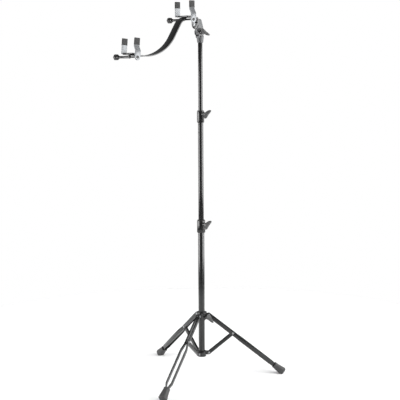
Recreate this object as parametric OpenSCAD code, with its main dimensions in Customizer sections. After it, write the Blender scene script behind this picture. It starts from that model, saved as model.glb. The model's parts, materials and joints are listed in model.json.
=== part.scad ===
// Guitar rack: a telescopic tripod stand whose tilting head carries a curved
// steel band with two screw clamps that grip the body of a guitar.
// Units are millimetres, +Z is up, and the feet stand on z = 0. The band runs
// to the left (-X) of the mast, and the clamp screws run along Y.

/* [Frame] */
// X of the mast axis, which puts the origin under the middle of the bounding box
mast_x = 29.75; // [-60:0.05:60]
// Y of the mast axis, which puts the origin under the middle of the bounding box
mast_y = -68.45; // [-120:0.05:120]

/* [Mast tubes] */
// Outer diameter of the lower tube
lower_tube_d = 25; // [24:0.5:28]
// Outer diameter of the middle tube
middle_tube_d = 21; // [20:0.5:22]
// Outer diameter of the upper tube
upper_tube_d = 17.5; // [16:0.5:18]
// Wall thickness of all three tubes
tube_wall = 1.2; // [1:0.1:1.2]
// Length of the middle tube
middle_tube_len = 545; // [480:5:560]
// Length of the upper tube
upper_tube_len = 545; // [480:5:600]

/* [Mast heights] */
// Height of the lower end of the lower tube
lower_tube_z = 84; // [82:1:86]
// Height of the lower clutch's lower face
lower_clutch_z = 588.5; // [560:0.5:620]
// Height of the upper clutch's lower face
upper_clutch_z = 1024; // [960:0.5:1040]
// Height of the tilt socket's lower face
socket_z = 1331; // [1280:0.5:1360]

/* [Tripod] */
// Direction of the first leg, counted from +X
leg_azimuth = -34.8; // [-60:0.1:0]
// Height of the pins in the hub at the mast's foot
hub_pin_z = 94.5; // [92:0.5:100]
// Height of the pins in the sliding collar
collar_pin_z = 251; // [230:0.5:270]
// Distance of those pins from the mast axis
pin_r = 28.6; // [28:0.1:30]
// Length of a brace between its pins, and of a leg between its two pins
link = 124.5; // [110:0.5:135]
// Distance from a leg's collar pin to the upper end of its rubber foot
foot_start = 341; // [320:1:345]

/* [Leg bars and braces] */
// Width of the flat steel leg bars
bar_w = 16; // [13:0.5:16]
// Thickness of the flat steel leg bars
bar_t = 2.5; // [2:0.1:3]
// Gap between a leg's two bars where they run close together
bar_gap = 9; // [9:0.1:12]
// Gap between a leg's two bars below the bend
bar_gap_wide = 20; // [20:0.5:26]
// Height of the channel section braces
brace_h = 14; // [12:0.5:14]

/* [Curved band] */
// Width of the band
band_w = 40; // [34:1:42]
// Thickness of the band
band_t = 4; // [3:0.5:4]
// Height of the band's upper face at the upper clamp
band_top_z = 1427.5; // [1400:1:1450]
// Distance of the band's vertical tab from the mast axis
tab_x = 24; // [23:0.5:26]
// Steepest slope of the band
band_slope = 59; // [50:1:65]
// Radius of the band's upper bend
band_upper_r = 52; // [40:1:60]
// Radius of the band's lower bend
band_lower_r = 152.6; // [140:0.1:160]
// Lean of the lower clamp towards the mast
lower_lean = 5.5; // [0:0.5:10]

/* [Clamps] */
// Distance of the fixed finger from the band's middle
fixed_finger_y = 48; // [46:0.5:50]
// Distance of the upper moving finger from the band's middle
upper_jaw_y = 52; // [40:0.5:60]
// Distance of the lower moving finger from the band's middle
lower_jaw_y = 42; // [40:0.5:60]
// Width of the fingers
finger_w = 23; // [20:0.5:24]
// Thickness of the fingers
finger_t = 3.5; // [3:0.1:4]
// Sideways step of the moving finger
finger_step = 9.5; // [8:0.5:10]
// Height of the rubber sleeves on the fingers
sleeve_h = 24.5; // [24:0.5:28]
// Height of the channels on the band
channel_h = 4.2; // [4:0.1:5]
// Diameter of the clamp knobs
knob_d = 23; // [20:1:26]

/* [Wing bolts] */
// Half the span of a wing
wing_reach = 22; // [18:0.5:24]
// Depth of a wing along its bolt
wing_depth = 24; // [20:0.5:26]
// Direction of the wing bolts in the clutches and the collar, counted from +X
bolt_azimuth = -83; // [-95:1:-75]
// Turn of the lower clutch's wing about its bolt
lower_clutch_wing_turn = 135; // [0:1:180]
// Turn of the upper clutch's wing about its bolt
upper_clutch_wing_turn = 135; // [0:1:180]
// Turn of the collar's wing about its bolt
collar_wing_turn = 30; // [0:1:180]
// Turn of the tilt joint's wing about its bolt
tilt_wing_turn = 35; // [0:1:180]

/* [Hidden] */
$fn = 64;

// Fits: radial gap of a running fit, and side gap between pieces that swing past each other
run = 0.06;
side = 0.3;

// Colours
black_steel = "#202124";
light_steel = "#b9bcc2";
zinc = "#c3c4c6";
cast_grey = "#8f9296";
rubber_grey = "#3a3b3d";
wing_grey = "#6c6e70";
bush_grey = "#4c4d50";

lower_r = lower_tube_d / 2;
middle_r = middle_tube_d / 2;
upper_r = upper_tube_d / 2;

// The mast: each clutch grips the tube above it, and each tube ends inside its clutch
lower_clutch_h = 50;
upper_clutch_h = 46.5;
clutch_wall = 3.6;
clutch_tube_depth = 22;
lower_tube_top = lower_clutch_z + clutch_tube_depth;
middle_tube_top = upper_clutch_z + clutch_tube_depth;
middle_tube_z = middle_tube_top - middle_tube_len;
socket_h = 25;
upper_tube_top = socket_z + socket_h - 8;
upper_tube_z = upper_tube_top - upper_tube_len;

// The tripod's opening angle from the vertical
open_angle = acos((collar_pin_z - hub_pin_z) / 2 / link);
leg_pin_r = 2.5;
rivet_head_r = 4.6;
rivet_head_h = 2;
ear_r = 8;
hub_ear_t = bar_gap - 2 * side - 4;
collar_ear_t = bar_gap - 2 * side;
brace_w = bar_gap - 2 * side;
brace_wall = 1.5;
hub_body_r = 18;
hub_body_h = 21;
collar_body_r = 16.5;
collar_bottom_z = 231;
collar_top_z = 264;
collar_flange_r = 20.5;
collar_flange_h = 7;
collar_bush_r = 14;
collar_boss_z = 245;
collar_boss_end = 34;

// Stations along a leg, from its collar pin
bend_start = link + 14;
bend_end = link + 40;
taper_start = foot_start - 22;
taper_end = foot_start + 3;
bar_end = foot_start + 36;
foot_end = foot_start + 49;
foot_top_r = 12.5;
foot_sole_r = 17;

// The tilt joint and the arm above it
tilt_x = -4;
tilt_z = 1371;
cheek_in = 7.3;
cheek_out = 10.5;
cheek_r = 16;
tilt_disc_r = 14.6;
tilt_disc_t = 2;
tilt_boss_len = 9;
knuckle_w = 14;
knuckle_r = 14;
m8_r = 4;
m6_r = 3;
tab_bolt_z = 1403;
washer_t = 1.3;
washer_gap = 0.2;
arm_face_x = -(tab_x - band_t / 2) + washer_gap + washer_t;
tab_bolt_head_r = 8.5;
tab_bolt_head_t = 3.8;

// The band's centre line in the XZ plane, from the tab to its lower end
band_mid_z = band_top_z - band_t / 2;
tab_bend_r = 7;
upper_bend_x = -62;
band_straight = 53;
band_tail = 66;
lower_clamp_station = 42;
function turn_points(start, radius, from_angle, to_angle, steps) =
    [for (i = [1:steps])
        let (a = from_angle + (to_angle - from_angle) * i / steps)
        start + radius * [sin(from_angle) - sin(a), cos(a) - cos(from_angle)]];
upper_bend_start = [upper_bend_x, band_mid_z];
upper_bend = turn_points(upper_bend_start, band_upper_r, 0, band_slope, 12);
straight_end = upper_bend[len(upper_bend) - 1]
    + band_straight * [-cos(band_slope), -sin(band_slope)];
lower_bend = turn_points(straight_end, -band_lower_r, band_slope, -lower_lean, 16);
tail_start = lower_bend[len(lower_bend) - 1];
tail_dir = [-cos(lower_lean), sin(lower_lean)];
tab_bend = [for (i = [0:6]) let (a = 90 * i / 6)
    [-tab_x - tab_bend_r + tab_bend_r * cos(a), band_mid_z - tab_bend_r + tab_bend_r * sin(a)]];
band_path = concat(
    [[-tab_x, tab_bolt_z]], tab_bend, [upper_bend_start],
    upper_bend, lower_bend, [tail_start + band_tail * tail_dir]);

// Where the clamps sit: on the band's upper face
upper_clamp_x = -72;
upper_clamp_z = band_top_z;
lower_clamp_mid = tail_start + lower_clamp_station * tail_dir;
lower_clamp_x = lower_clamp_mid[0] + band_t / 2 * sin(lower_lean);
lower_clamp_z = lower_clamp_mid[1] + band_t / 2 * cos(lower_lean);

// The clamp, in its own frame: z = 0 is the band's upper face
channel_w = 22;
channel_wall = 1.8;
channel_web = 1.4;
channel_near_y = -26;
tongue_w = channel_w - 2 * channel_wall - 0.6;
tongue_z = 0.3;
tongue_t = 2.2;
tongue_len = 57;
rod_z = -10.5;
rod_len = 92;
fixed_finger_top = 56;
moving_finger_top = 57.5;
step_bottom = 14;
step_top = 28;
finger_foot_len = 12;
guide_y = 7;
guide_t = 3;
guide_w = 10.8;
journal_r = 4;
screw_sleeve_r = 4.6;
clip_r = 4.9;
knob_neck_y = 80;
knob_face_y = 92;
knob_back_y = 106;
sleeve_wall = 1.5;
sleeve_side = 0.6;

// ---------------------------------------------------------------- placing

module on_mast() {
    translate([mast_x, mast_y, 0]) children();
}

// Puts a child, drawn in the plane of a leg, at leg number k
module at_leg(k) {
    on_mast() rotate([0, 0, leg_azimuth + 120 * k]) children();
}

// Puts +X down along a leg, from its collar pin
module along_leg() {
    translate([pin_r, 0, collar_pin_z]) rotate([0, 90 - open_angle, 0]) children();
}

// Puts +X up along a brace, from its hub pin
module along_brace() {
    translate([pin_r, 0, hub_pin_z]) rotate([0, open_angle - 90, 0]) children();
}

module upper_clamp_frame() {
    on_mast() translate([upper_clamp_x, 0, upper_clamp_z]) children();
}

module lower_clamp_frame() {
    on_mast() translate([lower_clamp_x, 0, lower_clamp_z]) rotate([0, lower_lean, 0]) children();
}

// Puts +X along the wing bolts of the clutches and the collar
module at_bolt(z) {
    on_mast() translate([0, 0, z]) rotate([0, 0, bolt_azimuth]) children();
}

// A cylinder along Y, from y0 to y1
module rod_y(r, y0, y1) {
    translate([0, y1, 0]) rotate([90, 0, 0]) cylinder(r = r, h = y1 - y0);
}

// A cylinder along X, from x0 to x1
module rod_x(r, x0, x1) {
    translate([x0, 0, 0]) rotate([0, 90, 0]) cylinder(r = r, h = x1 - x0);
}

// Extrudes an outline drawn in X and Z along Y, centred
module slab_y(width) {
    rotate([90, 0, 0]) linear_extrude(height = width, center = true) children();
}

// ---------------------------------------------------------------- shared pieces

module tube(r, z0, z1) {
    translate([0, 0, z0]) difference() {
        cylinder(r = r, h = z1 - z0);
        translate([0, 0, -1]) cylinder(r = r - tube_wall, h = z1 - z0 + 2);
    }
}

// Moulded plug in a tube's lower end: its skirt slides in the tube outside
module guide_plug(tube_r, outside_r, z) {
    skirt_h = 12;
    translate([0, 0, z - skirt_h]) difference() {
        union() {
            cylinder(r = outside_r - tube_wall - run, h = skirt_h);
            cylinder(r = tube_r - tube_wall, h = skirt_h + 10);
        }
        translate([0, 0, -1]) cylinder(r = tube_r - tube_wall - 2, h = skirt_h + 12);
    }
}

// A rivet along Y with a head at each end, outside the given half widths
module rivet(half) {
    rod_y(leg_pin_r, -half, half);
    for (s = [-1, 1])
        translate([0, s * (half + rivet_head_h / 2), 0])
            rod_y(rivet_head_r, -rivet_head_h / 2, rivet_head_h / 2);
}

// A plastic wing on a bolt that points along +Z, with its bolt's hole from below
module wing(bore_r, bore_depth) {
    hub_r = 7;
    hub_h = 12;
    petal_t = 7;
    difference() {
        union() {
            cylinder(r = hub_r, h = hub_h);
            slab_y(petal_t)
                for (s = [0, 1]) mirror([s, 0]) polygon([
                    [0, 0], [hub_r, 0], [hub_r + 5, 1.5], [wing_reach - 4, 6],
                    [wing_reach, 12], [wing_reach, wing_depth - 5],
                    [wing_reach - 1.5, wing_depth - 1.5], [wing_reach - 5, wing_depth],
                    [0, wing_depth]]);
        }
        translate([0, 0, -1]) cylinder(r = bore_r, h = bore_depth + 1);
    }
}

// A wing bolt along +X: its wing starts at wing_x and its screw's tip is at tip_x
module wing_bolt_x(wing_x, tip_x, turn) {
    screw_depth = 9;
    translate([wing_x, 0, 0]) rotate([0, 90, 0]) rotate([0, 0, turn]) {
        wing(m6_r, screw_depth);
        translate([0, 0, tip_x - wing_x]) cylinder(r = m6_r, h = screw_depth + wing_x - tip_x);
    }
}

// The sleeve of a clutch on a tube of radius r, with the boss for its wing bolt
clutch_lip_h = 2.5;
clutch_bolt_z = 33;
clutch_boss_r = 7.5;
clutch_boss_end = 21.5;
insert_r = 5;
insert_len = 5.5;
module clutch_body(r, h) {
    difference() {
        union() {
            cylinder(r = r + clutch_wall, h = h - clutch_lip_h);
            translate([0, 0, clutch_bolt_z]) rod_x(clutch_boss_r, r + 1, clutch_boss_end);
        }
        translate([0, 0, -1]) cylinder(r = r, h = h + 2);
        translate([0, 0, clutch_bolt_z]) rod_x(m6_r + run, 0, 40);
        translate([0, 0, clutch_bolt_z]) rod_x(insert_r, clutch_boss_end - insert_len, 40);
    }
}

// The split plastic bush that the wing bolt presses on the tube above
module clutch_bush(r, inner_r, h) {
    slit = 2.2;
    difference() {
        union() {
            translate([0, 0, clutch_tube_depth]) cylinder(r = r, h = h - clutch_tube_depth);
            translate([0, 0, h - clutch_lip_h]) cylinder(r = r + 2.2, h = clutch_lip_h);
        }
        translate([0, 0, -1]) cylinder(r = inner_r + run, h = h + 2);
        translate([-40, -slit / 2, 0]) cube([40, slit, h + 1]);
    }
}

// The threaded insert in a clutch's boss
module clutch_insert() {
    translate([0, 0, clutch_bolt_z]) difference() {
        rod_x(insert_r, clutch_boss_end - insert_len, clutch_boss_end);
        rod_x(m6_r + run, 0, 40);
    }
}

module clutch_wing(r, turn) {
    translate([0, 0, clutch_bolt_z]) wing_bolt_x(clutch_boss_end + side, r + 0.2, turn);
}

// ---------------------------------------------------------------- mast

module lower_tube() {
    color(black_steel) on_mast() tube(lower_r, lower_tube_z, lower_tube_top);
}

module tube_foot_cap() {
    color(rubber_grey) on_mast() {
        translate([0, 0, lower_tube_z - 4]) cylinder(r = lower_r, h = 4);
        translate([0, 0, lower_tube_z]) cylinder(r = lower_r - tube_wall, h = 12);
    }
}

module middle_tube() {
    color(black_steel) on_mast() tube(middle_r, middle_tube_z, middle_tube_top);
}

module middle_guide_plug() {
    color(bush_grey) on_mast() guide_plug(middle_r, lower_r, middle_tube_z);
}

module upper_tube() {
    color(black_steel) on_mast() tube(upper_r, upper_tube_z, upper_tube_top);
}

module upper_guide_plug() {
    color(bush_grey) on_mast() guide_plug(upper_r, middle_r, upper_tube_z);
}

module lower_clutch_body() {
    color(black_steel) at_bolt(lower_clutch_z) clutch_body(lower_r, lower_clutch_h);
}

module lower_clutch_bush() {
    color(bush_grey) at_bolt(lower_clutch_z) clutch_bush(lower_r, middle_r, lower_clutch_h);
}

module lower_clutch_insert() {
    color(zinc) at_bolt(lower_clutch_z) clutch_insert();
}

module lower_clutch_wing() {
    color(wing_grey) at_bolt(lower_clutch_z) clutch_wing(lower_r, lower_clutch_wing_turn);
}

module upper_clutch_body() {
    color(black_steel) at_bolt(upper_clutch_z) clutch_body(middle_r, upper_clutch_h);
}

module upper_clutch_bush() {
    color(bush_grey) at_bolt(upper_clutch_z) clutch_bush(middle_r, upper_r, upper_clutch_h);
}

module upper_clutch_insert() {
    color(zinc) at_bolt(upper_clutch_z) clutch_insert();
}

module upper_clutch_wing() {
    color(wing_grey) at_bolt(upper_clutch_z) clutch_wing(middle_r, upper_clutch_wing_turn);
}

// ---------------------------------------------------------------- tripod

module base_hub() {
    color(black_steel) difference() {
        union() {
            on_mast() translate([0, 0, hub_pin_z - 13.5]) cylinder(r = hub_body_r, h = hub_body_h);
            for (k = [0:2]) at_leg(k) translate([0, 0, hub_pin_z]) {
                translate([pin_r, 0, 0]) rod_y(ear_r, -hub_ear_t / 2, hub_ear_t / 2);
                translate([14, -hub_ear_t / 2, -ear_r]) cube([pin_r - 14, hub_ear_t, 2 * ear_r]);
            }
        }
        on_mast() cylinder(r = lower_r, h = 200);
        for (k = [0:2]) at_leg(k) translate([pin_r, 0, hub_pin_z]) rod_y(leg_pin_r, -10, 10);
    }
}

module hub_pins() {
    color(zinc) for (k = [0:2]) at_leg(k) translate([pin_r, 0, hub_pin_z])
        rivet(brace_w / 2 + side);
}

module leg_collar() {
    boss_r = 7;
    color(black_steel) difference() {
        union() {
            on_mast() translate([0, 0, collar_bottom_z])
                cylinder(r = collar_body_r, h = collar_top_z - collar_bottom_z);
            on_mast() translate([0, 0, collar_top_z - collar_flange_h])
                cylinder(r = collar_flange_r, h = collar_flange_h);
            for (k = [0:2]) at_leg(k) translate([0, 0, collar_pin_z]) {
                translate([pin_r, 0, 0]) rod_y(ear_r, -collar_ear_t / 2, collar_ear_t / 2);
                translate([14, -collar_ear_t / 2, -ear_r])
                    cube([pin_r - 14, collar_ear_t, 2 * ear_r]);
            }
            at_bolt(collar_boss_z) rod_x(boss_r, 14, collar_boss_end);
        }
        on_mast() cylinder(r = collar_bush_r, h = 400);
        for (k = [0:2]) at_leg(k) translate([pin_r, 0, collar_pin_z]) rod_y(leg_pin_r, -10, 10);
        at_bolt(collar_boss_z) rod_x(m6_r + run, 5, 40);
    }
}

module collar_bush() {
    color(bush_grey) on_mast() translate([0, 0, collar_bottom_z + 1]) difference() {
        cylinder(r = collar_bush_r, h = collar_top_z - collar_bottom_z - 1);
        translate([0, 0, -1]) cylinder(r = lower_r + run, h = 50);
    }
}

module collar_pins() {
    color(zinc) for (k = [0:2]) at_leg(k) translate([pin_r, 0, collar_pin_z])
        rivet(bar_gap / 2 + bar_t + 0.2);
}

module collar_wing() {
    color(wing_grey) at_bolt(collar_boss_z)
        wing_bolt_x(collar_boss_end + side, collar_bush_r + 0.2, collar_wing_turn);
}

// One leg bar: straight, bent outwards below the middle pin, drawn in to the foot
module leg_bar() {
    y_close = (bar_gap + bar_t) / 2;
    y_wide = (bar_gap_wide + bar_t) / 2;
    y_foot = 3;
    path = [
        [0, y_close], [bend_start, y_close], [bend_end, y_wide],
        [taper_start, y_wide], [taper_end, y_foot], [bar_end, y_foot]];
    last = len(path) - 1;
    linear_extrude(height = bar_w, center = true) polygon(concat(
        [for (p = path) p + [0, bar_t / 2]],
        [for (i = [0:last]) path[last - i] - [0, bar_t / 2]]));
    rod_y(bar_w / 2, y_close - bar_t / 2, y_close + bar_t / 2);
}

module leg_bars(k) {
    color(black_steel) at_leg(k) along_leg() difference() {
        for (s = [0, 1]) mirror([0, s, 0]) leg_bar();
        rod_y(leg_pin_r + run, -20, 20);
        translate([link, 0, 0]) rod_y(leg_pin_r, -20, 20);
    }
}

module leg_pin(k) {
    color(zinc) at_leg(k) along_leg() translate([link, 0, 0]) rivet(bar_gap / 2 + bar_t);
}

// A tapered rubber foot with a flat sole, pushed over the drawn-in ends of the bars
module foot(k) {
    pocket_y = 3 + bar_t / 2;
    color(rubber_grey) at_leg(k) intersection() {
        along_leg() difference() {
            translate([foot_start, 0, 0]) rotate([0, 90, 0])
                cylinder(r1 = foot_top_r, r2 = foot_sole_r, h = foot_end - foot_start);
            translate([foot_start - 1, -pocket_y, -bar_w / 2])
                cube([bar_end - foot_start + 1, 2 * pocket_y, bar_w]);
            translate([foot_start - 1, -7, -bar_w / 2]) cube([taper_end - foot_start + 1, 14, bar_w]);
        }
        translate([0, -200, 0]) cube([600, 400, 400]);
    }
}

// A pressed channel with its web cut back at both ends, so that it clears the ears
module brace(k) {
    web_setback = 12;
    cheek_mid = (brace_w - brace_wall) / 2;
    color(black_steel) at_leg(k) along_brace() difference() {
        union() {
            for (s = [-1, 1]) translate([0, s * cheek_mid, 0]) {
                rod_y(brace_h / 2, -brace_wall / 2, brace_wall / 2);
                translate([link, 0, 0]) rod_y(brace_h / 2, -brace_wall / 2, brace_wall / 2);
                translate([0, -brace_wall / 2, -brace_h / 2]) cube([link, brace_wall, brace_h]);
            }
            translate([web_setback, -brace_w / 2, -brace_h / 2])
                cube([link - 2 * web_setback, brace_w, brace_wall]);
        }
        rod_y(leg_pin_r + run, -20, 20);
        translate([link, 0, 0]) rod_y(leg_pin_r + run, -20, 20);
    }
}

// ---------------------------------------------------------------- tilt joint

module at_tilt() {
    on_mast() translate([tilt_x, 0, tilt_z]) children();
}

module tilt_socket() {
    cheek_t = cheek_out - cheek_in;
    neck_w = 22;
    neck_h = tilt_z - socket_z - socket_h + 6;
    color(cast_grey) difference() {
        union() {
            on_mast() translate([0, 0, socket_z]) cylinder(r1 = 11.5, r2 = 14.7, h = socket_h);
            at_tilt() for (s = [-1, 1]) translate([0, s * (cheek_in + cheek_out) / 2, 0]) {
                rod_y(cheek_r, -cheek_t / 2, cheek_t / 2);
                translate([-neck_w / 2 + 1.5, -cheek_t / 2, -neck_h]) cube([neck_w, cheek_t, neck_h]);
            }
        }
        on_mast() translate([0, 0, socket_z - 1]) cylinder(r = upper_r, h = socket_h - 7);
        at_tilt() rod_y(m8_r, -20, 20);
        on_mast() translate([-30, -cheek_in, socket_z + socket_h]) cube([60, 2 * cheek_in, 60]);
    }
}

// Round friction discs outside the cheeks; the front one has a boss under the wing nut
module tilt_discs() {
    color(black_steel) at_tilt() difference() {
        union() {
            for (s = [0, 1]) mirror([0, s, 0]) {
                rod_y(tilt_disc_r, cheek_out, cheek_out + tilt_disc_t - 0.8);
                rod_y(tilt_disc_r - 2.5, cheek_out, cheek_out + tilt_disc_t);
            }
            rod_y(8.5, -cheek_out - tilt_disc_t - tilt_boss_len, -cheek_out);
        }
        rod_y(m8_r, -cheek_out - 20, cheek_out + 20);
        rod_y(tilt_disc_r + 1, -cheek_out, cheek_out);
    }
}

module tilt_bolt() {
    head_y = cheek_out + tilt_disc_t;
    head_t = 5.3;
    color(zinc) at_tilt() {
        rod_y(m8_r, -head_y - tilt_boss_len - 10, head_y);
        translate([0, head_y + head_t, 0]) rotate([90, 0, 0]) cylinder(r = 7.5, h = head_t, $fn = 6);
    }
}

module tilt_wing() {
    wing_y = -cheek_out - tilt_disc_t - tilt_boss_len - side;
    color(wing_grey) at_tilt() translate([0, wing_y, 0])
        rotate([90, 0, 0]) rotate([0, 0, -tilt_wing_turn]) wing(m8_r + run, 10.5);
}

module tilt_arm() {
    bolt_up = tab_bolt_z - tilt_z;
    face = arm_face_x - tilt_x;
    color(cast_grey) at_tilt() difference() {
        union() {
            rod_y(knuckle_r, -knuckle_w / 2, knuckle_w / 2);
            slab_y(knuckle_w) polygon([
                [-13.8, -2.5], [face, 14], [face, 50], [face + 18, 50],
                [face + 22, 46], [16.5, 9], [13.6, -3.5]]);
            translate([0, 0, bolt_up]) rod_x(10.5, face, face + 6);
        }
        rod_y(m8_r + run, -20, 20);
        translate([0, 0, bolt_up]) rod_x(m8_r, -40, face + 16);
    }
}

module tab_bolt() {
    head_x = -tab_x - band_t / 2 - 0.2;
    color(zinc) on_mast() translate([0, 0, tab_bolt_z]) difference() {
        union() {
            rod_x(m8_r, head_x, arm_face_x + 16);
            rod_x(tab_bolt_head_r, head_x - tab_bolt_head_t + 1.4, head_x);
            rod_x(tab_bolt_head_r - 2, head_x - tab_bolt_head_t, head_x);
        }
        rotate([0, -90, 0]) translate([0, 0, -head_x + 1]) cylinder(r = 3.4, h = 8, $fn = 6);
    }
}

module tab_washer() {
    color(rubber_grey) on_mast() translate([0, 0, tab_bolt_z]) difference() {
        rod_x(10.5, arm_face_x - washer_t, arm_face_x);
        rod_x(m8_r, -40, 0);
    }
}

// ---------------------------------------------------------------- band

function unit(v) = v / norm(v);
function path_normal(path, i) =
    let (a = path[max(i - 1, 0)], b = path[min(i + 1, len(path) - 1)], d = unit(b - a))
    [-d[1], d[0]];

// The bent strip that the band and the lugs under it share a face with
module band_strip() {
    last = len(band_path) - 1;
    slab_y(band_w) polygon(concat(
        [for (i = [0:last]) band_path[i] + band_t / 2 * path_normal(band_path, i)],
        [for (j = [0:last]) let (i = last - j)
            band_path[i] - band_t / 2 * path_normal(band_path, i)]));
}

module curved_band() {
    color(black_steel) on_mast() difference() {
        union() {
            band_strip();
            translate([0, 0, tab_bolt_z])
                rod_x(band_w / 2, -tab_x - band_t / 2, -tab_x + band_t / 2);
        }
        translate([0, 0, tab_bolt_z]) rod_x(m8_r + run, -40, 0);
    }
}

// ---------------------------------------------------------------- clamps

module clamp_channel() {
    color(black_steel) difference() {
        translate([-channel_w / 2, channel_near_y, 0])
            cube([channel_w, fixed_finger_y - finger_t / 2 - channel_near_y, channel_h]);
        translate([-channel_w / 2 + channel_wall, channel_near_y - 1, -1])
            cube([channel_w - 2 * channel_wall, 120, channel_h - channel_web + 1]);
        finger_rivet_places() translate([0, 0, -5]) cylinder(r = 2, h = 20);
    }
}

module finger_rivet_places() {
    for (x = [-5, 5])
        translate([x, fixed_finger_y - finger_t / 2 - finger_foot_len / 2, 0]) children();
}

module clamp_fixed_finger() {
    foot_t = channel_h - channel_web;
    color(light_steel) {
        difference() {
            union() {
                translate([-finger_w / 2, fixed_finger_y - finger_t / 2, 0])
                    cube([finger_w, finger_t, fixed_finger_top]);
                translate([-tongue_w / 2, fixed_finger_y - finger_t / 2 - finger_foot_len, 0])
                    cube([tongue_w, finger_foot_len + 1, foot_t]);
            }
            finger_rivet_places() translate([0, 0, -5]) cylinder(r = 2, h = 20);
        }
    }
}

// Each rivet ends flush in the channel's top, so that nothing stands above the bed
module clamp_rivet_pair() {
    finger_rivet_places() {
        translate([0, 0, -1.2]) cylinder(r = 3.6, h = 1.2);
        cylinder(r = 2, h = channel_h);
    }
}

module clamp_rivets() {
    color(zinc) {
        upper_clamp_frame() clamp_rivet_pair();
        lower_clamp_frame() clamp_rivet_pair();
    }
}

// A lug welded under the band, in which the clamp screw's sleeve turns
module screw_guide() {
    difference() {
        translate([0, 0, rod_z]) union() {
            rod_y(guide_w / 2, guide_y, guide_y + guide_t);
            translate([-guide_w / 2, guide_y, 0]) cube([guide_w, guide_t, 0.6 - rod_z - band_t]);
        }
        translate([0, 0, rod_z]) rod_y(journal_r + run, 0, 20);
    }
}

module screw_guides() {
    color(black_steel) difference() {
        union() {
            upper_clamp_frame() screw_guide();
            lower_clamp_frame() screw_guide();
        }
        on_mast() band_strip();
    }
}

// A rubber sleeve, closed at the top, over the top of a finger
module finger_sleeve(y, top) {
    color(rubber_grey) translate([0, y, 0]) difference() {
        translate([-finger_w / 2 - sleeve_side, -finger_t / 2 - sleeve_wall, top + 2 - sleeve_h])
            cube([finger_w + 2 * sleeve_side, finger_t + 2 * sleeve_wall, sleeve_h]);
        translate([-finger_w / 2, -finger_t / 2, top - sleeve_h]) cube([finger_w, finger_t, sleeve_h]);
    }
}

// The moving finger stands on its lower part at y = -jaw_y and steps inwards above the band
module moving_finger(jaw_y) {
    t = finger_t / 2;
    inner = finger_step;
    color(light_steel) translate([0, -jaw_y, 0]) difference() {
        union() {
            rotate([90, 0, 90]) linear_extrude(height = finger_w, center = true) polygon([
                [-t, rod_z], [t, rod_z], [t, step_bottom], [t + inner, step_top],
                [t + inner, moving_finger_top], [inner - t, moving_finger_top],
                [inner - t, step_top], [-t, step_bottom]]);
            translate([0, 0, rod_z]) rod_y(finger_w / 2, -t, t);
        }
        translate([0, 0, rod_z]) rod_y(m6_r, -10, 10);
    }
}

module tongue(jaw_y) {
    color(black_steel) translate([-tongue_w / 2, -jaw_y + finger_t / 2, tongue_z])
        cube([tongue_w, tongue_len, tongue_t]);
}

// The threaded rod, riveted into the moving finger
module clamp_rod(jaw_y) {
    head_y = finger_t / 2;
    color(zinc) translate([0, -jaw_y, rod_z]) difference() {
        union() {
            rod_y(m6_r, -head_y, rod_len);
            rod_y(5.2, -head_y - 2.2, -head_y);
        }
        rod_y(2.4, -head_y - 3, -head_y - 0.8);
    }
}

module screw_sleeve() {
    color(black_steel) translate([0, 0, rod_z]) difference() {
        union() {
            rod_y(journal_r, guide_y - 4, guide_y + guide_t + 1);
            rod_y(clip_r, guide_y - 2.8, guide_y - 0.2);
            rod_y(screw_sleeve_r, guide_y + guide_t + 0.2, knob_neck_y + 8);
        }
        rod_y(m6_r + run, 0, knob_neck_y);
    }
}

module clamp_knob() {
    neck_r = 6.2;
    knob_r = knob_d / 2;
    grip_r = 2.2;
    color(black_steel) translate([0, 0, rod_z]) difference() {
        rotate([-90, 0, 0]) rotate_extrude() polygon([
            [0, knob_neck_y], [neck_r, knob_neck_y], [neck_r + 0.8, knob_neck_y + 7],
            [knob_r - 1.5, knob_face_y], [knob_r, knob_face_y + 2],
            [knob_r, knob_back_y - 3], [knob_r - 3, knob_back_y], [0, knob_back_y]]);
        rod_y(screw_sleeve_r, knob_neck_y - 1, knob_neck_y + 8);
        for (i = [0:5]) rotate([0, 60 * i, 0]) translate([knob_r + 0.9, 0, 0])
            rod_y(grip_r, knob_face_y - 6, knob_back_y + 1);
    }
}

module upper_channel() upper_clamp_frame() clamp_channel();
module lower_channel() lower_clamp_frame() clamp_channel();
module upper_fixed_finger() upper_clamp_frame() clamp_fixed_finger();
module lower_fixed_finger() lower_clamp_frame() clamp_fixed_finger();
module upper_fixed_sleeve() upper_clamp_frame() finger_sleeve(fixed_finger_y, fixed_finger_top);
module lower_fixed_sleeve() lower_clamp_frame() finger_sleeve(fixed_finger_y, fixed_finger_top);
module upper_moving_finger() upper_clamp_frame() moving_finger(upper_jaw_y);
module lower_moving_finger() lower_clamp_frame() moving_finger(lower_jaw_y);
module upper_moving_sleeve()
    upper_clamp_frame() finger_sleeve(finger_step - upper_jaw_y, moving_finger_top);
module lower_moving_sleeve()
    lower_clamp_frame() finger_sleeve(finger_step - lower_jaw_y, moving_finger_top);
module upper_tongue() upper_clamp_frame() tongue(upper_jaw_y);
module lower_tongue() lower_clamp_frame() tongue(lower_jaw_y);
module upper_rod() upper_clamp_frame() clamp_rod(upper_jaw_y);
module lower_rod() lower_clamp_frame() clamp_rod(lower_jaw_y);
module upper_knob() upper_clamp_frame() clamp_knob();
module lower_knob() lower_clamp_frame() clamp_knob();
module upper_screw_sleeve() upper_clamp_frame() screw_sleeve();
module lower_screw_sleeve() lower_clamp_frame() screw_sleeve();

// ---------------------------------------------------------------- the assembly

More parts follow.
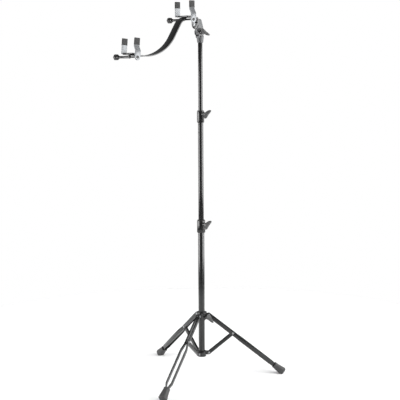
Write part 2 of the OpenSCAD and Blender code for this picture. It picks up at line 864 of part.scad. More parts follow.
lower_tube();
tube_foot_cap();
base_hub();
hub_pins();
lower_clutch_body();
lower_clutch_bush();
lower_clutch_insert();
lower_clutch_wing();
middle_tube();
middle_guide_plug();
upper_clutch_body();
upper_clutch_bush();
upper_clutch_insert();
upper_clutch_wing();
upper_tube();
upper_guide_plug();
leg_collar();
collar_bush();
collar_pins();
collar_wing();
leg_bars(0);  // leg_a_bars
leg_pin(0);  // leg_a_pin
foot(0);  // foot_a
brace(0);  // brace_a
leg_bars(1);  // leg_b_bars
leg_pin(1);  // leg_b_pin
foot(1);  // foot_b
brace(1);  // brace_b
leg_bars(2);  // leg_c_bars
leg_pin(2);  // leg_c_pin
foot(2);  // foot_c
brace(2);  // brace_c
tilt_socket();
tilt_discs();
tilt_bolt();
tilt_wing();
tilt_arm();
tab_bolt();
tab_washer();
curved_band();
clamp_rivets();
screw_guides();
upper_channel();
upper_fixed_finger();
upper_fixed_sleeve();
lower_channel();
lower_fixed_finger();
lower_fixed_sleeve();
upper_moving_finger();
upper_moving_sleeve();
upper_tongue();
upper_rod();
lower_moving_finger();
lower_moving_sleeve();
lower_tongue();
lower_rod();
upper_knob();
upper_screw_sleeve();
lower_knob();
lower_screw_sleeve();
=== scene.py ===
"""Looks of the guitar rack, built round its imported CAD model. Units are metres."""

import json
import math

import bmesh
import bpy
from mathutils import Matrix, Vector


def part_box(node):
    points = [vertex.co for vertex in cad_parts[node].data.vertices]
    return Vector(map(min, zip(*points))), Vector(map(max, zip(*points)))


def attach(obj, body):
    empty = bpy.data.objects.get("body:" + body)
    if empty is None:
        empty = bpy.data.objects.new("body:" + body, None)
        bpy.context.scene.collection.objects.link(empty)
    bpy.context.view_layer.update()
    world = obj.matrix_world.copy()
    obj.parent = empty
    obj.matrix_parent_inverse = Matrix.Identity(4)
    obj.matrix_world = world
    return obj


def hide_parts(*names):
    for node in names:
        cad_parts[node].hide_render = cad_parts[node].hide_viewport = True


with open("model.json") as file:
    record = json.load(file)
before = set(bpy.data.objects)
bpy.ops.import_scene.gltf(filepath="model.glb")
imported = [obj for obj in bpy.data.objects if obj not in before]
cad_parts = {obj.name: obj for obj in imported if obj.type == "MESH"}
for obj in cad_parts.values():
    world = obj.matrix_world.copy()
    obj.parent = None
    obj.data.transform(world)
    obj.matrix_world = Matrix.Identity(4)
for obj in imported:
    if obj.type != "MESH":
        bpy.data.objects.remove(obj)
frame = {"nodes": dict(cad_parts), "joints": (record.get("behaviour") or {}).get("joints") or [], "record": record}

MM = 0.001
UP = Vector((0, 0, 1))
ALONG_Y = Vector((0, 1, 0))
WELD_DISTANCE = 1e-6
MERGE_DISTANCE = 1e-7
POINT_RADIUS = 1e-5
RECORD = frame["record"]
JOINTS = {joint["name"]: joint for joint in frame["joints"]}
BODY_OF = {node: body for body, nodes in RECORD["behaviour"]["bodies"].items() for node in nodes}
SLOT_OF = {part["node"]: part["material_slot"] for part in RECORD["subparts"]}
LEGS = ("a", "b", "c")
CLAMPS = ("upper", "lower")
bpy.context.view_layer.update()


def box_middle(node):
    low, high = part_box(node)
    return (low + high) / 2


def box_size(node):
    low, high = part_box(node)
    return high - low


MAST = box_middle("lower_tube")


# ---------------------------------------------------------------- materials

class Nodes:
    """Short ways to add shader nodes to one material."""

    def __init__(self, name):
        self.material = bpy.data.materials.new(name)
        self.material.use_nodes = True
        self.tree = self.material.node_tree
        self.shader = self.tree.nodes["Principled BSDF"]
        self.coords = self.tree.nodes.new("ShaderNodeTexCoord").outputs["Object"]

    def link(self, output, socket):
        self.tree.links.new(output, socket)

    def noise(self, scale, detail=2.0, roughness=0.5, stretch=(1, 1, 1)):
        """Noise with this many features a metre, stretched along an axis by a value under 1."""
        mapping = self.tree.nodes.new("ShaderNodeMapping")
        mapping.inputs["Scale"].default_value = stretch
        self.link(self.coords, mapping.inputs["Vector"])
        noise = self.tree.nodes.new("ShaderNodeTexNoise")
        noise.inputs["Scale"].default_value = scale
        noise.inputs["Detail"].default_value = detail
        noise.inputs["Roughness"].default_value = roughness
        self.link(mapping.outputs["Vector"], noise.inputs["Vector"])
        return noise.outputs["Fac"]

    def spread(self, value, low, high):
        """Maps a noise's middle range to low..high."""
        node = self.tree.nodes.new("ShaderNodeMapRange")
        for socket, number in (("From Min", 0.3), ("From Max", 0.7), ("To Min", low), ("To Max", high)):
            node.inputs[socket].default_value = number
        self.link(value, node.inputs["Value"])
        return node.outputs["Result"]

    def mix(self, factor, dark, light):
        node = self.tree.nodes.new("ShaderNodeMix")
        node.data_type = "RGBA"
        node.inputs["A"].default_value = (*dark, 1)
        node.inputs["B"].default_value = (*light, 1)
        self.link(factor, node.inputs["Factor"])
        return node.outputs["Result"]

    def bump(self, height, strength, distance, below=None):
        node = self.tree.nodes.new("ShaderNodeBump")
        node.inputs["Strength"].default_value = strength
        node.inputs["Distance"].default_value = distance
        self.link(height, node.inputs["Height"])
        if below is not None:
            self.link(below, node.inputs["Normal"])
        self.link(node.outputs["Normal"], self.shader.inputs["Normal"])
        return node.outputs["Normal"]

    def colour(self, factor, dark, light):
        self.link(self.mix(factor, dark, light), self.shader.inputs["Base Color"])

    def roughness(self, value):
        self.link(value, self.shader.inputs["Roughness"])

    def set(self, **values):
        for name, value in values.items():
            self.shader.inputs[name.replace("_", " ")].default_value = value


def grey(value, tint=0.0):
    """A grey, made slightly blue by a positive tint."""
    return (value * (1 - tint), value, value * (1 + tint))


def powder_coat():
    """Semi-gloss black: a fine orange-peel skin with faint dust and handling marks."""
    n = Nodes("black_powder_coat_look")
    marks = n.noise(22, 4, 0.6)
    n.colour(n.spread(marks, 0, 1), grey(0.006), grey(0.011, 0.02))
    n.roughness(n.spread(n.noise(60, 3), 0.19, 0.27))
    peel = n.bump(n.noise(1400, 2), 0.05, 0.06 * MM)
    n.bump(n.noise(260, 2), 0.03, 0.1 * MM, peel)
    n.set(Coat_Weight=0.25, Coat_Roughness=0.12)
    return n.material


def finger_steel():
    """Zinc-plated flat steel, with the rolled sheet's grain along the finger."""
    n = Nodes("finger_steel_look")
    grain = n.noise(900, 3, 0.6, stretch=(1, 1, 0.05))
    cloud = n.noise(45, 3)
    n.colour(n.spread(cloud, 0, 1), grey(0.185, 0.03), grey(0.215, 0.04))
    n.roughness(n.spread(grain, 0.36, 0.48))
    n.bump(grain, 0.05, 0.03 * MM)
    n.set(Metallic=0.6)
    return n.material


def zinc():
    """Bright zinc plate on rivets and bolts, faintly clouded."""
    n = Nodes("zinc_fastener_look")
    cloud = n.noise(300, 3)
    n.colour(n.spread(cloud, 0, 1), grey(0.24, 0.01), grey(0.32, 0.02))
    n.roughness(n.spread(cloud, 0.22, 0.4))
    n.bump(n.noise(1800, 2), 0.05, 0.03 * MM)
    n.set(Metallic=1.0)
    return n.material


def cast_grey():
    """Painted casting with a fine sandy skin."""
    n = Nodes("cast_grey_look")
    cloud = n.noise(70, 4, 0.6)
    n.colour(n.spread(cloud, 0, 1), grey(0.1, 0.03), grey(0.12, 0.03))
    n.roughness(n.spread(n.noise(350, 3), 0.4, 0.55))
    n.bump(n.noise(1100, 3, 0.55), 0.07, 0.06 * MM)
    n.set(Metallic=0.15)
    return n.material


def dark_rod():
    """Blackened steel of the clamp screws."""
    n = Nodes("dark_rod_look")
    cloud = n.noise(160, 3)
    n.colour(n.spread(cloud, 0, 1), grey(0.035), grey(0.075))
    n.roughness(n.spread(cloud, 0.3, 0.45))
    n.bump(n.noise(1500, 2), 0.1, 0.05 * MM)
    n.set(Metallic=0.9)
    return n.material


def moulded(name, dark, light, rough_low, rough_high, grain_strength):
    """Moulded plastic or rubber with a spark-eroded grain."""
    n = Nodes(name)
    n.colour(n.spread(n.noise(90, 4, 0.6), 0, 1), dark, light)
    n.roughness(n.spread(n.noise(220, 3), rough_low, rough_high))
    fine = n.bump(n.noise(2200, 3, 0.6), grain_strength, 0.12 * MM)
    n.bump(n.noise(500, 2), grain_strength * 0.3, 0.1 * MM, fine)
    return n.material


# one look for each material slot of the record
LOOKS = {
    "black_powder_coat": powder_coat(),
    "finger_steel": finger_steel(),
    "zinc_fastener": zinc(),
    "cast_grey": cast_grey(),
    "dark_rod": dark_rod(),
    "wing_plastic": moulded("wing_plastic_look", grey(0.085), grey(0.115), 0.34, 0.46, 0.18),
    "knob_plastic": moulded("knob_plastic_look", grey(0.012), grey(0.02), 0.3, 0.42, 0.2),
    "sleeve_rubber": moulded("sleeve_rubber_look", grey(0.026), grey(0.038), 0.6, 0.75, 0.2),
    "foot_rubber": moulded("foot_rubber_look", grey(0.03), grey(0.042), 0.5, 0.66, 0.35),
    "bush_nylon": moulded("bush_nylon_look", grey(0.02), grey(0.03), 0.35, 0.5, 0.2),
}


# ---------------------------------------------------------------- making pieces

CORNER_STEPS = 6


def finish_piece(obj, nodes):
    """Gives a piece its look and has it stand for CAD nodes of one body, and ride on that body."""
    slot = SLOT_OF[nodes[0]]
    obj.data.materials.clear()
    obj.data.materials.append(LOOKS[slot])
    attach(obj, BODY_OF[nodes[0]])
    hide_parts(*nodes)


def object_from(name, bm, smooth_angle=40):
    """A mesh object with smooth shading and its sharp edges marked."""
    bmesh.ops.remove_doubles(bm, verts=bm.verts, dist=MERGE_DISTANCE)
    bmesh.ops.recalc_face_normals(bm, faces=bm.faces)
    for face in bm.faces:
        face.smooth = True
    for edge in bm.edges:
        edge.smooth = not edge.is_manifold or edge.calc_face_angle() < math.radians(smooth_angle)
    mesh = bpy.data.meshes.new(name)
    bm.to_mesh(mesh)
    bm.free()
    obj = bpy.data.objects.new(name, mesh)
    bpy.context.scene.collection.objects.link(obj)
    return obj


def frame_at(origin, along, side):
    """A placing matrix whose local Z runs along one direction, and whose local X lies to a side."""
    z = Vector(along).normalized()
    x = (Vector(side) - z * z.dot(Vector(side))).normalized()
    y = z.cross(x)
    return Matrix.Translation(Vector(origin)) @ Matrix((x, y, z)).transposed().to_4x4()


def add_rings(bm, rings):
    """Joins rings of points, all with as many points, into a closed skin."""
    loops = [[bm.verts.new(point) for point in ring] for ring in rings]
    count = len(loops[0])
    for low, high in zip(loops, loops[1:]):
        for i in range(count):
            j = (i + 1) % count
            bm.faces.new((low[i], low[j], high[j], high[i]))
    bm.faces.new(list(reversed(loops[0])))
    bm.faces.new(loops[-1])


def circle_ring(radius, z, count):
    return [Vector((radius * math.cos(2 * math.pi * i / count),
                    radius * math.sin(2 * math.pi * i / count), z)) for i in range(count)]


def lathe(bm, profile, count):
    """Turns a profile of (radius, height) about Z. A radius of 0 closes an end in a point."""
    add_rings(bm, [circle_ring(max(radius, POINT_RADIUS), z, count) for radius, z in profile])


def rounded_box_ring(half_x, half_y, corner, z):
    """A rectangle in X and Y with round corners, at a height."""
    corner = min(corner, half_x, half_y)
    ring = []
    for quarter, (sx, sy) in enumerate(((1, 1), (-1, 1), (-1, -1), (1, -1))):
        for i in range(CORNER_STEPS + 1):
            a = math.radians(90 * (quarter + i / CORNER_STEPS))
            ring.append(Vector((sx * (half_x - corner) + corner * math.cos(a),
                                sy * (half_y - corner) + corner * math.sin(a), z)))
    return ring


# ---------------------------------------------------------------- CAD nodes that stay

SHARP_EDGE = math.radians(35)
BEVELLED_EDGE = math.radians(38)


def smooth_by_angle():
    """A node group that shades a mesh smooth but for its sharp edges."""
    group = bpy.data.node_groups.new("shade_by_angle", "GeometryNodeTree")
    group.interface.new_socket("Geometry", in_out="INPUT", socket_type="NodeSocketGeometry")
    group.interface.new_socket("Geometry", in_out="OUTPUT", socket_type="NodeSocketGeometry")
    source = group.nodes.new("NodeGroupInput")
    target = group.nodes.new("NodeGroupOutput")
    faces = group.nodes.new("GeometryNodeSetShadeSmooth")
    edges = group.nodes.new("GeometryNodeSetShadeSmooth")
    edges.domain = "EDGE"
    angle = group.nodes.new("GeometryNodeInputMeshEdgeAngle")
    below = group.nodes.new("FunctionNodeCompare")
    below.data_type = "FLOAT"
    below.operation = "LESS_THAN"
    below.inputs[1].default_value = SHARP_EDGE
    group.links.new(source.outputs[0], faces.inputs["Geometry"])
    group.links.new(faces.outputs["Geometry"], edges.inputs["Geometry"])
    group.links.new(angle.outputs["Unsigned Angle"], below.inputs[0])
    group.links.new(below.outputs[0], edges.inputs["Shade Smooth"])
    group.links.new(edges.outputs["Geometry"], target.inputs[0])
    return group


SHADE_BY_ANGLE = smooth_by_angle()
# how wide a node's edges are rounded, in mm
EDGE_ROUND = {
    "curved_band": 0.8, "tilt_socket": 0.9, "tilt_arm": 1.2, "base_hub": 0.8, "leg_collar": 0.8,
    "lower_clutch_body": 0.7, "upper_clutch_body": 0.7, "lower_clutch_bush": 0.5, "upper_clutch_bush": 0.5,
    "screw_guides": 0.6, "tilt_discs": 0.35, "tilt_bolt": 0.3, "tab_bolt": 0.5, "tab_washer": 0.3,
}
DEFAULT_ROUND = 0.35


def dress_cad_node(node):
    """Gives a CAD node its look, with its edges slightly rounded by modifiers."""
    obj = frame["nodes"][node]
    for slot in obj.material_slots:
        slot.material = LOOKS[SLOT_OF[node]]
    weld = obj.modifiers.new("weld", "WELD")
    weld.merge_threshold = WELD_DISTANCE
    bevel = obj.modifiers.new("round", "BEVEL")
    bevel.width = EDGE_ROUND.get(node, DEFAULT_ROUND) * MM
    bevel.segments = 2
    bevel.limit_method = "ANGLE"
    bevel.angle_limit = BEVELLED_EDGE
    bevel.use_clamp_overlap = True
    shade = obj.modifiers.new("shade", "NODES")
    shade.node_group = SHADE_BY_ANGLE


for node in frame["nodes"]:
    dress_cad_node(node)


# ---------------------------------------------------------------- rubber sleeves on the fingers

def clamp_up(clamp):
    """The up direction of a clamp, from the channel's normal that the record gives."""
    mounts = {mount["name"]: mount for mount in RECORD["mounts"]}
    return Vector(mounts[clamp + "_clamp_bed"]["axis"])


def make_sleeve(clamp, kind):
    """A finger's rubber sleeve: a rolled lip round the pocket's mouth, and a round closed end."""
    node = f"{clamp}_{kind}_sleeve"
    up = clamp_up(clamp)
    side = ALONG_Y.cross(up)
    low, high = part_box(node)
    half_thick = (high.y - low.y) / 2
    lean = math.atan2(up.x, up.z)
    c, s = math.cos(lean), abs(math.sin(lean))
    wide, tall = high.x - low.x, high.z - low.z
    # the box of a leaning rectangle gives back the rectangle's own sides
    length = (tall * c - wide * s) / (c * c - s * s)
    half_wide = (wide * c - tall * s) / (c * c - s * s) / 2
    place = frame_at(box_middle(node) - up * length / 2, up, side)
    wall = 1.5 * MM
    lip = 0.45 * MM
    end_round, end_steps, end_depth = 2.2 * MM, 5, 0.85
    pocket_corner, lip_corner, body_corner, end_corner = 0.4 * MM, 1.9 * MM, 1.7 * MM, 0.3 * MM
    side_wall = wall * 0.42
    pocket_floor = length - 2 * MM
    rings = [rounded_box_ring(half_wide - side_wall, half_thick - wall, pocket_corner, z)
             for z in (pocket_floor, 0.0)]
    # (how far the lip stands out, as a share of its width; height in mm)
    for share, z in ((-0.3, 0.0), (0.0, 0.25), (0.0, 2.1), (-0.7, 2.9)):
        grow = share * lip
        rings.append(rounded_box_ring(half_wide + grow, half_thick + grow, lip_corner, z * MM))
    body_x, body_y = half_wide - 0.8 * lip, half_thick - 0.8 * lip
    rings.append(rounded_box_ring(body_x, body_y, body_corner, length - end_round))
    for i in range(1, end_steps + 1):
        a = math.radians(90 * i / end_steps)
        inset = end_round * (1 - math.cos(a)) * end_depth
        rings.append(rounded_box_ring(body_x - inset, body_y - inset, max(body_corner - inset, end_corner),
                                      length - end_round + end_round * math.sin(a)))
    bm = bmesh.new()
    add_rings(bm, rings)
    bm.transform(place)
    finish_piece(object_from(node + "_boot", bm, 60), [node])


# ---------------------------------------------------------------- rivets

RIVET_SIDES = 32
RIVET_HEAD_HEIGHT = 2 * MM
# the width of a CAD pin's head
PIN_HEAD_WIDTH = 9.2 * MM
# a rivet's domed head: (radius, height above its seat) in mm
RIVET_DOME = [(1.0, 2.0), (2.3, 1.86), (3.4, 1.45), (4.2, 0.85), (4.55, 0.3), (4.55, 0.0), (2.45, 0.0)]
HUB_RIVET_LESS = 2.5 * MM
COLLAR_RIVET_MORE = 0.2 * MM


def add_rivet(bm, centre, axis, half):
    """A rivet about a level axis through a centre, with half this length between its heads."""
    part = bmesh.new()
    lathe(part, rivet_profile(half), RIVET_SIDES)
    part.transform(frame_at(centre, axis, UP))
    mesh = bpy.data.meshes.new("part")
    part.to_mesh(mesh)
    part.free()
    bm.from_mesh(mesh)
    bpy.data.meshes.remove(mesh)


def rivet_profile(half):
    """The (radius, distance) profile of a rivet with a domed head outside each half length."""
    out = [(r * MM, half + h * MM) for r, h in RIVET_DOME]
    ends = (0, -half - RIVET_HEAD_HEIGHT), (0, half + RIVET_HEAD_HEIGHT)
    return [ends[0]] + [(r, -z) for r, z in out] + out[::-1] + [ends[1]]


def around_mast(point, turn):
    """A point turned about the mast by an angle in degrees."""
    centre = Vector((MAST.x, MAST.y, 0))
    return centre + Matrix.Rotation(math.radians(turn), 3, "Z") @ (Vector(point) - centre)


def pin_half(node):
    """Half the length of a leg's pin between its heads, from its box along the pin's axis."""
    axis = Vector(JOINTS[node[:5] + "_fold"]["axis"])
    size = box_size(node)
    across_x, across_y = abs(axis.x), abs(axis.y)
    # only a box side that runs mostly along the pin gives its length well
    spans = [(size.x - PIN_HEAD_WIDTH * across_y) / across_x if across_x > 0.5 else 0,
             (size.y - PIN_HEAD_WIDTH * across_x) / across_y if across_y > 0.5 else 0]
    return max(spans) / 2 - RIVET_HEAD_HEIGHT


def make_rivets():
    """The legs' middle rivets one by one, and the hub's and the collar's three as one piece each."""
    half = pin_half("leg_a_pin")
    for leg in LEGS:
        joint = JOINTS[f"leg_{leg}_fold"]
        bm = bmesh.new()
        add_rivet(bm, joint["pos_m"], joint["axis"], half)
        finish_piece(object_from(f"leg_{leg}_rivet", bm, 50), [f"leg_{leg}_pin"])
    hub, collar = bmesh.new(), bmesh.new()
    top = JOINTS["collar_pin_a"]
    for turn, leg in zip((0, 120, 240), LEGS):
        joint = JOINTS[f"brace_{leg}_fold"]
        add_rivet(hub, joint["pos_m"], joint["axis"], half - HUB_RIVET_LESS)
        add_rivet(collar, around_mast(top["pos_m"], turn), joint["axis"], half + COLLAR_RIVET_MORE)
    finish_piece(object_from("hub_rivets", hub, 50), ["hub_pins"])
    finish_piece(object_from("collar_rivets", collar, 50), ["collar_pins"])


# ---------------------------------------------------------------- rubber feet

def cap_at_floor(bm):
    """Cuts a closed skin level at the floor and closes the cut."""
    parts = list(bm.verts) + list(bm.edges) + list(bm.faces)
    cut = bmesh.ops.bisect_plane(bm, geom=parts, plane_co=(0, 0, 0), plane_no=(0, 0, 1), clear_inner=True)
    edges = [item for item in cut["geom_cut"] if isinstance(item, bmesh.types.BMEdge)]
    bmesh.ops.contextual_create(bm, geom=edges)


def make_foot(leg):
    """A tapered foot: square with round corners, a rolled lip at the top, a pocket for the bars."""
    hub = Vector(JOINTS[f"brace_{leg}_fold"]["pos_m"])
    middle = Vector(JOINTS[f"leg_{leg}_fold"]["pos_m"])
    brace = (middle - hub).normalized()
    down = Vector((brace.x, brace.y, -brace.z))
    across = UP.cross(down).normalized()
    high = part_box(f"foot_{leg}")[1]
    top_r, sole_r, length = 12.0 * MM, 15.9 * MM, 49 * MM
    waist, waist_at, flare, flare_steps = 0.5 * MM, 4.6 * MM, 1.25, 9
    sole_round = 3 * MM
    # the sloping top's upper edge lies this share of its half width above its middle
    rise = math.sqrt(1 - brace.z ** 2)
    start = middle + down * ((middle.z - (high.z - top_r * rise)) / brace.z)

    def ring(half, z, flat=1.0, corner=0.7):
        return rounded_box_ring(half, half * flat, half * corner, z)

    # the pocket's floor and mouth, the lip from its inner edge to its outer one, and the waist below
    rings = [ring(8.6 * MM, 5 * MM, 0.8, 0.2), ring(9.0 * MM, 0.6 * MM, 0.8, 0.25),
             ring(top_r - 2.0 * MM, 0.0), ring(top_r - 0.7 * MM, 0.2 * MM), ring(top_r, 1.2 * MM),
             ring(top_r + 0.1 * MM, 3.4 * MM), ring(top_r - waist, waist_at)]
    for i in range(1, flare_steps):
        t = i / flare_steps
        rings.append(ring(top_r - waist + (sole_r - top_r + waist) * t ** flare,
                          waist_at + (length - 9 * MM) * t))
    for angle in (0, 30, 60, 80):
        a = math.radians(angle)
        rings.append(ring(sole_r - sole_round * (1 - math.cos(a)), length - sole_round * (1 - math.sin(a))))
    bm = bmesh.new()
    add_rings(bm, rings)
    bm.transform(frame_at(start, down, across))
    cap_at_floor(bm)
    finish_piece(object_from(f"foot_{leg}_boot", bm, 55), [f"foot_{leg}"])


# ---------------------------------------------------------------- wings

WING_SIDES = 72
# the wing's outline: (reach from the bolt's axis, distance along the axis) in mm
WING_OUTLINE = [
    (6.5, 0.0), (6.95, 0.5), (9.4, 1.2), (12.6, 2.6), (16.2, 4.8), (18.8, 7.4), (20.7, 10.4),
    (21.7, 13.4), (22.0, 16.4), (21.8, 19.0), (21.0, 21.2), (19.7, 22.7), (18.2, 23.6), (16.6, 23.95)]
# node, how far its seat lies behind the joint in mm, its turn from hanging down, its bolt's length in mm
BOLT_WINGS = (("collar_wing", 1.7, 30, 20.1), ("lower_clutch_wing", 2.2, 135, 9.1),
              ("upper_clutch_wing", 2.2, 135, 11.1))
TILT_WING_BACK = 2.2
TILT_WING_DROP = math.radians(35)


def wing_ring(half_x, thick, hub, z):
    """A section of a wing: a flat bar with round ends that swells into a round hub in the middle."""
    end_power, join_power = 7, 5
    ring = []
    for i in range(WING_SIDES):
        a = 2 * math.pi * i / WING_SIDES
        x = half_x * math.cos(a)
        bar = thick * max(1 - abs(x / half_x) ** end_power, 0) ** 0.5
        round_hub = math.sqrt(max(hub * hub - x * x, 0))
        y = (bar ** join_power + round_hub ** join_power) ** (1 / join_power)
        ring.append(Vector((x, math.copysign(y, math.sin(a)) if abs(math.sin(a)) > 1e-6 else 0.0, z)))
    return ring


def make_wing(node, joint_name, back, span, screw):
    """A moulded wing. A screw length in mm gives it a bolt, and a length of 0 gives it a bore."""
    joint = JOINTS[joint_name]
    axis = Vector(joint["axis"])
    start = Vector(joint["pos_m"]) - axis * back * MM
    if screw:
        tip_r, bolt_r, chamfer = 2.3 * MM, 2.95 * MM, 0.7
        ends = [(POINT_RADIUS, -screw * MM), (tip_r, -screw * MM), (bolt_r, (chamfer - screw) * MM),
                (bolt_r, 0.0)]
    else:
        bore_r, bore_depth = 4.06 * MM, 10.5 * MM
        ends = [(POINT_RADIUS, bore_depth), (bore_r, bore_depth), (bore_r, 0.0)]
    rings = [circle_ring(radius, z, WING_SIDES) for radius, z in ends]
    root_thick, taper, least = 3.5, 0.03, 0.04
    edge_from, edge_height = 20.5, 3.45
    hub_r, dome_from, dome_height = 6.95, 9.5, 3.6
    depth, saddle, saddle_width = 24, 2.6 * MM, 8 * MM
    for reach, z in WING_OUTLINE:
        end = max(0.0, (z - edge_from) / edge_height)
        thick = (root_thick - taper * z) * math.sqrt(max(1 - end * end, least))
        hub = hub_r * math.sqrt(max(1 - (max(z - dome_from, 0) / dome_height) ** 2, 0))
        ring = wing_ring(reach * MM, thick * MM, max(hub, 0.01) * MM, z * MM)
        # the far edge dips between the two petals
        for point in ring:
            point.z -= saddle * math.exp(-((point.x / saddle_width) ** 2)) * (z / depth) ** 4
        rings.append(ring)
    bm = bmesh.new()
    add_rings(bm, rings)
    bm.transform(frame_at(start, axis, span))
    finish_piece(object_from(node + "_moulding", bm, 48), [node])


def make_wings():
    for node, back, turn, screw in BOLT_WINGS:
        axis = Vector(JOINTS[node + "_turn"]["axis"])
        level = UP.cross(axis)
        a = math.radians(turn)
        make_wing(node, node + "_turn", back, math.sin(a) * level - math.cos(a) * UP, screw)
    span = Vector((math.cos(TILT_WING_DROP), 0, -math.sin(TILT_WING_DROP)))
    make_wing("tilt_wing", "tilt_wing_turn", TILT_WING_BACK, span, 0)


# ---------------------------------------------------------------- clamp knobs and screws

# the knob's outline: (radius in mm, distance along its axis in mm, share of the lobes' full depth)
KNOB_OUTLINE = [
    (0.01, 0, 0), (5.6, 0, 0), (6.1, 0.4, 0), (6.4, 3, 0), (6.9, 6.4, 0), (7.9, 8.4, 0.25),
    (9.6, 10.6, 0.7), (10.9, 12.2, 1), (11.3, 13.6, 1), (11.4, 17, 1), (11.4, 21.5, 1),
    (11.1, 23.4, 1), (10.2, 24.9, 0.95), (8.7, 25.7, 0.8), (7.4, 25.95, 0.5),
    (6.2, 25.8, 0.1), (5.6, 25.2, 0), (3.0, 25.0, 0), (0.01, 25.0, 0)]
# the rod's riveted head: (radius, distance along its axis) in mm
ROD_HEAD = [
    (0.01, 0.8), (2.3, 0.8), (2.5, 0.1), (3.4, 0.0), (4.6, 0.35), (5.1, 1.1), (5.1, 2.2), (2.9, 2.2)]


def make_knob(clamp):
    """A six-lobed moulded knob on a tapered neck."""
    node = clamp + "_knob"
    start = Vector(JOINTS[node + "_turn"]["pos_m"])
    start.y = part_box(node)[0].y
    sides, lobe_count, lobe_depth, lobe_power = 120, 6, 0.13, 2.6
    rings = []
    for radius, z, lobes in KNOB_OUTLINE:
        ring = []
        for i in range(sides):
            a = 2 * math.pi * i / sides
            notch = ((1 + math.cos(lobe_count * a)) / 2) ** lobe_power
            r = radius * MM * (1 - lobe_depth * lobes * notch)
            ring.append(Vector((r * math.cos(a), r * math.sin(a), z * MM)))
        rings.append(ring)
    bm = bmesh.new()
    add_rings(bm, rings)
    bm.transform(frame_at(start, ALONG_Y, UP))
    finish_piece(object_from(node + "_moulding", bm, 50), [node])


def make_screw(clamp):
    """The clamp's threaded rod, with its riveted head beyond the moving finger."""
    node = clamp + "_rod"
    low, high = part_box(node)
    length, head, pitch, sides, steps_a_turn = high.y - low.y, 2.2 * MM, 1.5 * MM, 20, 8
    plain_r, crest_r, thread_depth, thread_power = 2.9 * MM, 2.97 * MM, 0.5 * MM, 1.2
    start = Vector(JOINTS[clamp + "_knob_turn"]["pos_m"])
    start.y = low.y
    finger = head + 3.5 * MM
    rings = [circle_ring(r * MM, z * MM, sides) for r, z in ROD_HEAD]
    rings.append(circle_ring(plain_r, finger + 1 * MM, sides))
    steps = int((length - finger - 3 * MM) / pitch * steps_a_turn)
    for i in range(steps):
        z = finger + 1.5 * MM + i * pitch / steps_a_turn
        ring = []
        for k in range(sides):
            a = 2 * math.pi * k / sides
            phase = (z / pitch - k / sides) % 1
            r = crest_r - thread_depth * abs(2 * phase - 1) ** thread_power
            ring.append(Vector((r * math.cos(a), r * math.sin(a), z)))
        rings.append(ring)
    rings += [circle_ring(2.4 * MM, length - 1 * MM, sides), circle_ring(1.9 * MM, length, sides)]
    bm = bmesh.new()
    add_rings(bm, rings)
    bm.transform(frame_at(start, ALONG_Y, UP))
    finish_piece(object_from(node + "_thread", bm, 60), [node])


for clamp in CLAMPS:
    for kind in ("fixed", "moving"):
        make_sleeve(clamp, kind)
make_rivets()
for leg in LEGS:
    make_foot(leg)
make_wings()
for clamp in CLAMPS:
    make_knob(clamp)
    make_screw(clamp)


# ---------------------------------------------------------------- camera, floor and lights

PHOTO_TURN = math.radians(38)
CAMERA_OFFSET = Vector((-2.29895, -2.936, 0))
CAMERA_HEIGHT = 1.266
CAMERA_PITCH = math.radians(8.36)
CAMERA_ROLL = math.radians(-0.32)
CAMERA_LENS = 85.86
FLOOR_RADIUS, FLOOR_DEPTH, FLOOR_GAP, FLOOR_SIDES = 1.5, 0.002, 0.0003, 96
SUN_STRENGTH = 1.5
SUN_SOFTNESS = math.radians(70)
# name, angle round the mast, distance, height, width, how tall, radiance, height aimed at
SOFTBOXES = (
    ("right_side", 74, 2.6, 1.1, 2.7, 1.8, 7.0, 0.95),
    ("right_back", 128, 2.4, 1.1, 1.0, 1.9, 3.0, 0.9),
    ("left_side", -78, 2.6, 0.95, 2.3, 1.5, 7.0, 0.9),
    ("left_back", -128, 2.4, 0.9, 0.8, 1.5, 3.0, 0.75),
)


def from_camera_side(angle, distance, height):
    """A point round the mast: angle 0 is the camera's side, and 90 is to the camera's right."""
    a = math.radians(angle) - PHOTO_TURN
    return Vector((MAST.x + distance * math.sin(a), MAST.y - distance * math.cos(a), height))


def add_camera():
    """The photograph's viewpoint."""
    data = bpy.data.cameras.new("camera")
    data.lens = CAMERA_LENS
    data.sensor_width = 36
    data.clip_end = 100
    camera = bpy.data.objects.new("camera", data)
    bpy.context.scene.collection.objects.link(camera)
    forward = Vector((math.sin(PHOTO_TURN) * math.cos(CAMERA_PITCH),
                      math.cos(PHOTO_TURN) * math.cos(CAMERA_PITCH), -math.sin(CAMERA_PITCH)))
    level = forward.cross(UP).normalized()
    over = level.cross(forward)
    right = math.cos(CAMERA_ROLL) * level + math.sin(CAMERA_ROLL) * over
    up = -math.sin(CAMERA_ROLL) * level + math.cos(CAMERA_ROLL) * over
    place = Matrix((right, up, -forward)).transposed().to_4x4()
    place.translation = Vector((MAST.x, MAST.y, CAMERA_HEIGHT)) + CAMERA_OFFSET
    camera.matrix_world = place
    bpy.context.scene.camera = camera


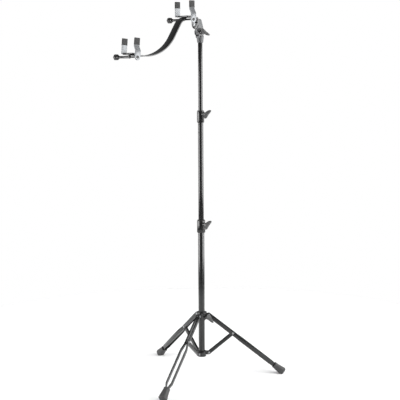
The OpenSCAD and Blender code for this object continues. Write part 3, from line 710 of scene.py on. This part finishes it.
def add_softbox(name, angle, distance, height, width, tall, radiance, aim):
    """An upright rectangular soft light that faces the mast."""
    data = bpy.data.lights.new(name, "AREA")
    data.shape = "RECTANGLE"
    data.size, data.size_y = width, tall
    data.energy = radiance * math.pi * width * tall
    light = bpy.data.objects.new(name, data)
    bpy.context.scene.collection.objects.link(light)
    light.location = from_camera_side(angle, distance, height)
    target = Vector((MAST.x, MAST.y, aim))
    light.rotation_euler = (target - light.location).to_track_quat("-Z", "Y").to_euler()
    light.visible_camera = False


def add_world():
    """Even pale surroundings: white where they show, dimmer as a light."""
    world = bpy.data.worlds.new("surroundings")
    world.use_nodes = True
    bpy.context.scene.world = world
    tree = world.node_tree
    tree.nodes.clear()
    shown = tree.nodes.new("ShaderNodeBackground")
    shown.inputs["Color"].default_value = (1, 1, 1, 1)
    lighting = tree.nodes.new("ShaderNodeBackground")
    lighting.inputs["Color"].default_value = (0.15, 0.152, 0.155, 1)
    path = tree.nodes.new("ShaderNodeLightPath")
    mix = tree.nodes.new("ShaderNodeMixShader")
    output = tree.nodes.new("ShaderNodeOutputWorld")
    tree.links.new(path.outputs["Is Camera Ray"], mix.inputs[0])
    tree.links.new(lighting.outputs[0], mix.inputs[1])
    tree.links.new(shown.outputs[0], mix.inputs[2])
    tree.links.new(mix.outputs[0], output.inputs["Surface"])


def add_floor():
    """A plain pale disc, just below the soles so that the two never coincide."""
    bm = bmesh.new()
    lathe(bm, [(FLOOR_RADIUS, -FLOOR_DEPTH), (FLOOR_RADIUS, 0.0), (0, 0.0)], FLOOR_SIDES)
    floor = object_from("floor", bm)
    floor.location = (MAST.x, MAST.y, -FLOOR_GAP)
    n = Nodes("pale_floor")
    n.colour(n.spread(n.noise(3, 2), 0, 1), grey(0.9), grey(0.92))
    n.set(Roughness=0.9)
    floor.data.materials.append(n.material)


def add_sun():
    """A weak, very soft light from above the camera's right."""
    data = bpy.data.lights.new("overhead", "SUN")
    data.energy = SUN_STRENGTH
    data.angle = SUN_SOFTNESS
    sun = bpy.data.objects.new("overhead", data)
    bpy.context.scene.collection.objects.link(sun)
    aim = Vector((MAST.x, MAST.y, 0)) - from_camera_side(35, 1.0, 1.8)
    sun.rotation_euler = aim.to_track_quat("-Z", "Y").to_euler()


add_world()
add_camera()
add_floor()
add_sun()
for softbox in SOFTBOXES:
    add_softbox(*softbox)
bpy.context.scene.view_settings.view_transform = "Standard"
